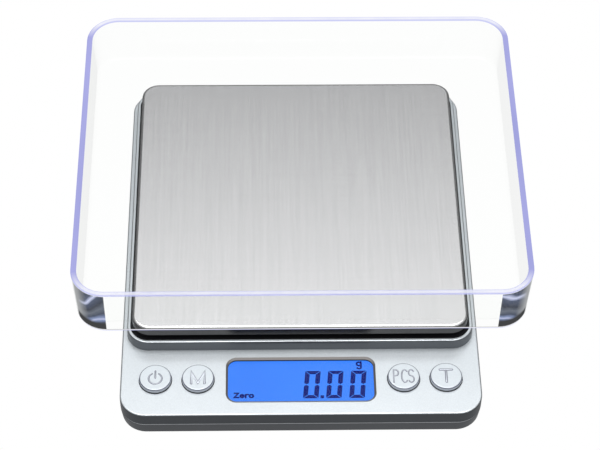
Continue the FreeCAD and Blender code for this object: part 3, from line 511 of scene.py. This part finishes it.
def clear_tray(name):
    """Clear moulded tray with painted light: a painted glow on its rim and heel, and a painted refraction
    pattern in its thick corners.
    """
    material, g = new_material(name)
    place = g.place()
    x, y, z = g.split(place)
    across = g.away(x, TRAY_MID.x)
    along = g.away(y, TRAY_MID.y)
    outer = g.past_outline(x, y, (TRAY_MID.x, TRAY_MID.y), TRAY_HALF.x, TRAY_HALF.y, TRAY_R)
    front = g.math("SUBTRACT", 1.0, g.add("ShaderNodeNewGeometry").outputs["Backfacing"])
    wall = rippled_clear(g, place, (0.996, 0.999, 0.996))

    # Rim: painted glow, strong lavender down the sides, pale across the back and the front
    side = g.rise(along, TRAY_HALF.y - 3.0 * MM, TRAY_HALF.y - 9.0 * MM)
    streaks = g.noise(g.stretched(place, (150.0, 25.0, 60.0)), 1.0, 3.0)
    pale = g.mix(streaks, (0.72, 0.74, 0.95, 1.0), (0.95, 0.95, 1.0, 1.0))
    deep = g.mix(streaks, (0.20, 0.22, 0.62, 1.0), (0.38, 0.38, 0.84, 1.0))
    edge_line = g.rise(g.math("ABSOLUTE", g.math("ADD", outer, 0.85 * MM)), 0.35 * MM, 0.75 * MM)
    front_rim = g.mix(edge_line, pale, (0.50, 0.52, 0.90, 1.0))
    rim_painted_glow = g.mix(side, front_rim, deep)
    rim = g.rise(z, TRAY_RIM_Z - 0.45 * MM, TRAY_RIM_Z - 0.25 * MM)

    # Heel: painted glow, a lavender edge, a white band above it and a painted thin dark line where the
    # floor's face ends
    height = g.math("SUBTRACT", z, TRAY_BASE_Z)
    heel_painted_glow = g.ramp(g.rise(height, 0.0, HEEL_SPAN),
                         [(0.13, (0.34, 0.37, 0.84)), (0.17, (0.96, 0.96, 1.0)), (0.25, (0.96, 0.96, 1.0)),
                          (0.27, (0.16, 0.16, 0.15)), (0.31, (0.16, 0.16, 0.15)), (0.33, (1.0, 1.0, 1.0))])
    edge = g.rise(outer, -2.6 * MM, -2.2 * MM)
    heel = g.math("MULTIPLY", g.math("MULTIPLY", edge, g.rise(height, HEEL_TOP, HEEL_TOP - 0.08 * MM)), front)

    # Corners: painted refraction, the dark room as if bent through the curve, with painted bright lens-shaped
    # streaks running round it
    corner_x = g.math("SUBTRACT", across, TRAY_HALF.x - TRAY_R)
    corner_y = g.math("SUBTRACT", along, TRAY_HALF.y - TRAY_R)
    in_corner = g.math("MULTIPLY", g.rise(corner_x, 0.0, 0.1 * MM), g.rise(corner_y, 0.0, 0.1 * MM))
    turn = g.math("ARCTAN2", corner_x, corner_y)
    drift = g.math("MULTIPLY", g.noise(g.stretched(place, (130.0, 130.0, 90.0)), 1.0, 1.0), 0.75)
    sweep = g.math("MULTIPLY_ADD", height, 95.0, g.math("MULTIPLY_ADD", turn, 0.62, drift))
    corner_painted_refraction = g.ramp(g.math("PINGPONG", sweep, 1.0),
                  [(0.0, (0.62, 0.66, 0.86)), (0.05, (0.36, 0.40, 0.58)), (0.11, (0.06, 0.08, 0.14)),
                   (0.40, (0.025, 0.033, 0.055)), (0.60, (0.12, 0.14, 0.18)), (0.80, (0.035, 0.05, 0.09)),
                   (0.94, (0.22, 0.28, 0.48)), (1.0, (0.50, 0.54, 0.76))])
    # painted shade: the pattern turns flat grey round the bend and near-black low on the wall
    corner_painted_refraction = g.mix(g.rise(turn, 0.55, 0.95), corner_painted_refraction, (0.33, 0.34, 0.35, 1.0))
    corner_painted_refraction = g.mix(g.rise(height, 4.8 * MM, 3.4 * MM), corner_painted_refraction, (0.008, 0.010, 0.012, 1.0))
    outside = g.rise(outer, -1.65 * MM, -1.2 * MM)
    tall = g.math("MULTIPLY", g.rise(z, TRAY_RIM_Z - 0.4 * MM, TRAY_RIM_Z - 0.6 * MM),
                  g.rise(height, 0.95 * MM, 1.05 * MM))
    corner = g.math("MULTIPLY", g.math("MULTIPLY", in_corner, g.rise(turn, 1.22, 1.05)),
                    g.math("MULTIPLY", outside, g.math("MULTIPLY", tall, front)))

    look = g.blend(g.math("MULTIPLY", corner, 0.95), wall, g.glow(corner_painted_refraction))
    look = g.blend(g.math("MULTIPLY", heel, 0.92), look, g.glow(heel_painted_glow))
    look = g.blend(g.math("MULTIPLY", rim, 0.85), look, g.glow(rim_painted_glow))
    passing = g.add("ShaderNodeBsdfTransparent", Color=(0.995, 0.998, 1.0, 1.0)).outputs[0]
    finish_material(g, g.blend(seen_directly(g), passing, look))
    return material


def lit_display(name, colour, dark):
    """Lit liquid crystal: glows to the eye with a faint fall-off, and stays dark to everything else."""
    material, g = new_material(name)
    place = g.place()
    drift = g.grey_ramp(g.noise(place, 45.0), [(0.3, 0.95), (0.7, 1.04)])
    glow = g.mix(1.0, coloured(colour), drift, "MULTIPLY")
    seen = g.math("MULTIPLY_ADD", seen_directly(g), DISPLAY_GLOW, 0.02)
    finish_material(g, principled(g, Base_Color=coloured(dark), Roughness=0.35, Specular_IOR_Level=0.1,
                                  Emission_Color=glow, Emission_Strength=seen))
    return material


# Legends on the keys and marks in the display

def arc(centre_x, centre_y, radius_x, radius_y, start, end, steps=16):
    """Points along part of an ellipse, angles in degrees."""
    angles = [math.radians(start + (end - start) * i / steps) for i in range(steps + 1)]
    return [(centre_x + radius_x * math.cos(a), centre_y + radius_y * math.sin(a)) for a in angles]


def side_normals(points):
    """Mitred sideways directions at each point of a flat line."""
    ways = [(b - a).normalized() for a, b in zip(points, points[1:])]
    normals = []
    for before, after in zip([ways[0]] + ways, ways + [ways[-1]]):
        way = (before + after).normalized()
        normals.append(Vector((-way.y, way.x)) / max(0.5, way.dot(before)))
    return normals


def add_ridge(bm, points, half_width, height, base_z):
    """Half-round ridge standing on a flat face along a line of points, with rounded ends."""
    points = [Vector(p) for p in points]
    first = (points[0] - points[1]).normalized()
    last = (points[-1] - points[-2]).normalized()
    turns = [math.radians(a) for a in CAP_TURNS]
    widths = [half_width * math.cos(a) for a in reversed(turns)] + [half_width] * len(points)
    widths += [half_width * math.cos(a) for a in turns]
    line = [points[0] + first * half_width * math.sin(a) for a in reversed(turns)] + points
    line += [points[-1] + last * half_width * math.sin(a) for a in turns]
    rings = []
    for point, normal, width in zip(line, side_normals(line), widths):
        ring = []
        for k in range(RIDGE_STEPS + 1):
            angle = math.pi * k / RIDGE_STEPS
            spot = point + normal * width * math.cos(angle)
            rise = height * width / half_width * math.sin(angle)
            ring.append(bm.verts.new((spot.x, spot.y, base_z + rise)))
        rings.append(ring)
    for a, b in zip(rings, rings[1:]):
        for k in range(RIDGE_STEPS + 1):
            following = (k + 1) % (RIDGE_STEPS + 1)
            bm.faces.new((a[k], b[k], b[following], a[following]))
    bm.faces.new(rings[0])
    bm.faces.new(rings[-1])


def piece(name, bm, material, body):
    """Turn a bmesh into a finished piece that rides on a body."""
    bmesh.ops.recalc_face_normals(bm, faces=bm.faces)
    mesh = bpy.data.meshes.new(name)
    bm.to_mesh(mesh)
    bm.free()
    obj = new_object(name, mesh)
    paint(obj, material)
    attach(obj, body)
    return obj


def key_legend(key, strokes, half_width):
    """Raised line symbol on a key's top, drawn round the key's centre in millimetres."""
    low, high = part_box(key + "_key")
    centre = (low + high) / 2
    bm = bmesh.new()
    for stroke in strokes:
        line = [(centre.x + u * MM, centre.y + v * MM) for u, v in stroke]
        add_ridge(bm, line, half_width * MM, LEGEND_RISE, high.z - LEGEND_SINK)
    legend = piece(key + "_key_legend", bm, mark_silver, key + "_button")
    for face in legend.data.polygons:
        face.use_smooth = len(face.vertices) == 4


def bending(node):
    """Copy of a load cell node put in the node's place, with the node itself hidden."""
    source = NODES[node]
    mesh = source.data.copy()
    mesh.transform(source.matrix_world)
    obj = new_object(node + "_bending", mesh)
    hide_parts(node)
    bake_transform(obj)


def add_prism(bm, corners, z0, z1):
    """Thin flat-sided solid over a polygon."""
    low = [bm.verts.new((x, y, z0)) for x, y in corners]
    high = [bm.verts.new((x, y, z1)) for x, y in corners]
    bm.faces.new(list(reversed(low)))
    bm.faces.new(high)
    for i in range(len(corners)):
        j = (i + 1) % len(corners)
        bm.faces.new((low[i], low[j], high[j], high[i]))


def digit_zero(left, bottom):
    """The six lit bars of a seven-segment 0, mitred where they meet and slanted to the right."""
    w, h, gap = DIGIT_W, DIGIT_H, DIGIT_GAP
    thick, deep = DIGIT_STROKE
    waist = h / 2 + gap
    top = [(gap, h), (w - gap, h), (w - thick - gap, h - deep), (thick + gap, h - deep)]
    upper = [(0, h - gap), (thick, h - deep - gap), (thick, waist + deep / 3), (thick / 2, waist),
             (0, waist + deep / 3)]
    bars = [top, upper, [(w - x, y) for x, y in upper]]
    bars += [[(x, h - y) for x, y in bar] for bar in bars]
    return [[(left + x + y * DIGIT_SLANT, bottom + y) for x, y in bar] for bar in bars]


def display_digits():
    """The reading 0.00, drawn as thin bars on the front glass."""
    bm = bmesh.new()
    for left in DIGIT_LEFTS:
        for bar in digit_zero(left, DIGIT_BOTTOM):
            add_prism(bm, bar, MARK_Z0, MARK_Z1)
    x, y = POINT_AT
    half = POINT_SIDE / 2
    add_prism(bm, [(x - half, y - half), (x + half, y - half), (x + half, y + half), (x - half, y + half)],
              MARK_Z0, MARK_Z1)
    piece("display_digits", bm, ink, "housing")


def display_word(name, strokes, left, bottom):
    """Bold lettering beside the digits, drawn as thick strokes in millimetres from its lower left corner."""
    bm = bmesh.new()
    for stroke in strokes:
        line = [(left + u * MM, bottom + v * MM) for u, v in stroke]
        add_ridge(bm, line, WORD_STROKE / 2, MARK_Z1 - MARK_Z0, MARK_Z0)
    piece(name, bm, ink, "housing")


# Finishes for the CAD nodes

# the third colour is the grey-brown painted shade on the bezel's far side
silver = painted_shell("silver_lacquer", (0.65, 0.685, 0.71), (0.30, 0.28, 0.27))
base_silver = silver_lacquer("base_silver", (0.84, 0.86, 0.88))
cap_silver = key_cap("cap_silver", (0.62, 0.66, 0.69))
mark_silver = key_cap("mark_silver", (0.47, 0.49, 0.54))
ink = lit_display("display_ink", (0.001, 0.006, 0.16), (0.003, 0.006, 0.02))
black = plastic("frame_black", BLACK_PLASTIC_AND_SHADE)
nickel = plated("nickel_plate", (0.66, 0.64, 0.60))
zinc = plated("zinc_plate", (0.60, 0.61, 0.63), 0.34)
FINISHES = {
    silver: ["top_housing"],
    base_silver: ["bottom_housing", "battery_door"],
    cap_silver: [key + "_key" for key in KEYS],
    plastic("switch_black", (0.02, 0.02, 0.022), 0.4): [key + "_switch" for key in KEYS],
    plastic("plunger_white", (0.62, 0.61, 0.58), 0.4): [key + "_plunger" for key in KEYS],
    rubber("foot_rubber", (0.030, 0.030, 0.032)): [name for name in NODES if name.startswith("foot_")],
    striped_rubber("contact_strip"): ["lcd_connector"],
    clear_plain("lens_clear", (0.97, 0.98, 1.0)): ["display_lens"],
    clear_tray("tray_clear"): ["clear_tray"],
    lit_display("lcd_blue", (0.052, 0.25, 1.0), (0.004, 0.012, 0.05)): ["lcd_panel"],
    plastic("backlight_white", (0.75, 0.78, 0.80), 0.35): ["lcd_backlight"],
    circuit_board("board_green"): ["main_circuit_board"],
    chip_mix("board_parts"): ["board_components"],
    plastic("epoxy_black", (0.010, 0.010, 0.011), 0.2, coat=0.5): ["controller_chip"],
    brushed_metal("plate_steel", (0.77, 0.75, 0.75), 0.24, 0.0025 * MM): ["platform_plate"],
    brushed_metal("beam_aluminium", (0.80, 0.80, 0.80), 0.42): ["load_cell"],
    plastic("sealant_white", (0.72, 0.70, 0.64), 0.55, 160.0, 0.2 * MM): ["strain_gauges"],
    wire_bundle("gauge_leads"): ["load_cell_wires"],
    plastic("tape_white", (0.62, 0.60, 0.54), 0.8, 260.0, 0.03 * MM): ["platform_tape", "display_tape"],
    black: ["platform_frame", "load_cell_spacer"],
    plastic("lead_red", (0.50, 0.015, 0.015), 0.4): ["battery_lead_red"],
    plastic("lead_black", (0.015, 0.015, 0.016), 0.4): ["battery_lead_black"],
    nickel: ["battery_link_contact", "battery_negative_contact", "battery_positive_contact"],
    zinc: ["board_screws", "housing_screws", "load_cell_screws", "platform_screws"],
    battery_wrap("cell_wrap_front", False): ["battery_front"],
    battery_wrap("cell_wrap_rear", True): ["battery_rear"],
}
for finish, names in FINISHES.items():
    for name in names:
        paint(NODES[name], finish)

bending("load_cell")
bending("strain_gauges")
key_legend("power", [arc(0.0, -0.35, 1.95, 1.95, 122, 418, 24), [(0.0, 2.35), (0.0, -0.2)]], 0.26)
key_legend("mode", [[(-1.95, -2.2), (-1.95, 2.1), (0.0, -2.0), (1.95, 2.1), (1.95, -2.2)]], 0.36)
key_legend("count", [[(-2.95, -2.3), (-2.95, 2.2), (-2.3, 2.2)] + arc(-2.3, 1.15, 0.75, 1.05, 90, -90)[1:]
                     + [(-2.95, 0.1)],
                     arc(0.3, -0.05, 0.95, 2.25, 48, 312),
                     arc(2.2, 1.1, 0.75, 1.1, 30, 270)[:-1] + arc(2.2, -1.15, 0.75, 1.15, 90, -150)], 0.22)
key_legend("tare", [[(-1.75, 2.15), (1.75, 2.15)], [(0.0, 2.1), (0.0, -2.2)]], 0.38)
display_digits()
display_word("display_unit", [arc(0.85, 1.55, 0.62, 0.66, 0, 360), [(1.5, 2.3), (1.5, 0.3)],
                              arc(0.9, 0.3, 0.60, 0.50, 0, -150)], 16.4 * MM, -46.75 * MM)
display_word("display_zero_mark",
             [[(0.25, 1.72), (1.35, 1.72), (0.2, 0.2), (1.45, 0.2)],
              [(1.95, 0.72), (2.95, 0.72)] + arc(2.45, 0.70, 0.5, 0.52, 0, 310)[1:],
              [(3.5, 0.15), (3.5, 1.25)], arc(4.0, 0.78, 0.5, 0.48, 165, 60),
              arc(5.2, 0.70, 0.55, 0.52, 0, 360)], -19.75 * MM, -57.3 * MM)


# Stage, light and camera

def studio_light(g, direction):
    """Brightness of the studio in a direction: a white wall high behind, grey walls round the rest."""
    _, back, up = g.split(direction)
    level = g.math("MULTIPLY_ADD", up, 0.5, 0.5)
    below = [(0.0, 0.36), (0.25, 0.28)]
    behind = g.grey_ramp(level, below + [(0.47, 0.12), (0.5, 0.20), (0.62, 0.30), (0.73, 0.16), (0.80, 0.045),
                                         (0.835, 0.14), (0.885, 1.06), (1.0, 1.08)])
    around = g.grey_ramp(level, below + [(0.47, 0.14), (0.5, 0.22), (0.56, 0.42), (0.75, 0.50), (0.885, 0.80),
                                         (1.0, 1.0)])
    shade = g.mix(g.rise(back, 0.15, 0.45), around, behind)
    return g.mix(1.0, shade, STUDIO_TINT, "MULTIPLY")


def backdrop(g, direction):
    """Plain white to the eye, the studio's own light to everything else."""
    path = g.add("ShaderNodeLightPath")
    seen = g.math("MAXIMUM", path.outputs["Is Camera Ray"], path.outputs["Is Transmission Ray"])
    return g.mix(seen, studio_light(g, direction), WHITE)


def floor():
    """Pale floor under the scale, which isn't there when seen from below."""
    bm = bmesh.new()
    ways = ((-1, -1), (1, -1), (1, 1), (-1, 1))
    bm.faces.new([bm.verts.new((x * FLOOR_HALF, y * FLOOR_HALF, 0.0)) for x, y in ways])
    mesh = bpy.data.meshes.new("floor")
    bm.to_mesh(mesh)
    bm.free()
    obj = new_object("floor", mesh)
    material, g = new_material("floor_white")
    geometry = g.add("ShaderNodeNewGeometry")
    flip = g.add("ShaderNodeVectorMath", {"operation": "SCALE"}, Scale=-1.0)
    g.feed(flip, "#0", geometry.outputs["Incoming"])
    lit = g.glow(backdrop(g, flip.outputs["Vector"]))
    clear = g.add("ShaderNodeBsdfTransparent").outputs[0]
    finish_material(g, g.blend(geometry.outputs["Backfacing"], lit, clear))
    paint(obj, material)


def world():
    """The studio's light as the sky."""
    scene_world = bpy.data.worlds.new("studio")
    bpy.context.scene.world = scene_world
    scene_world.use_nodes = True
    g = Graph(scene_world.node_tree)
    direction = g.add("ShaderNodeTexCoord").outputs["Generated"]
    background = g.add("ShaderNodeBackground", Strength=1.0)
    g.feed(background, "Color", backdrop(g, direction))
    out = g.add("ShaderNodeOutputWorld")
    g.tree.links.new(background.outputs[0], out.inputs["Surface"])


def softbox(name, place, aim, width, depth, power):
    """Soft rectangular lamp that lights the scale without being seen."""
    data = bpy.data.lights.new(name, "AREA")
    data.shape = "RECTANGLE"
    data.size = width
    data.size_y = depth
    data.energy = power
    lamp = new_object(name, data)
    lamp.location = place
    lamp.rotation_euler = (Vector(aim) - Vector(place)).to_track_quat("-Z", "Y").to_euler()
    lamp.visible_camera = False
    lamp.visible_transmission = False


def camera():
    """Camera that looks down at the scale's front, slightly turned and rolled."""
    data = bpy.data.cameras.new("camera")
    data.sensor_width = SENSOR_MM
    data.lens = LENS_MM
    data.clip_start = 0.01
    obj = new_object("camera", data)
    pitch = math.radians(PITCH_DEG)
    turn = Matrix.Rotation(math.radians(YAW_DEG), 3, "Z")
    right = turn @ Vector((1, 0, 0))
    forward = turn @ Vector((0, math.cos(pitch), -math.sin(pitch)))
    up = turn @ Vector((0, math.sin(pitch), math.cos(pitch)))
    roll = math.radians(ROLL_DEG)
    tilted_right = math.cos(roll) * right + math.sin(roll) * up
    tilted_up = -math.sin(roll) * right + math.cos(roll) * up
    place = AIM - forward * DISTANCE + tilted_right * SHIFT_RIGHT + tilted_up * SHIFT_UP
    rotation = Matrix((tilted_right, tilted_up, -forward)).transposed()
    obj.matrix_world = Matrix.Translation(place) @ rotation.to_4x4()
    bpy.context.scene.camera = obj


floor()
world()
softbox("overhead", place=(0.0, 0.05, 0.7), aim=(0.0, 0.0, 0.0), width=0.5, depth=0.4, power=3.0)
camera()
bpy.context.scene.view_settings.view_transform = "Standard"
bpy.context.scene.cycles.transparent_max_bounces = 32
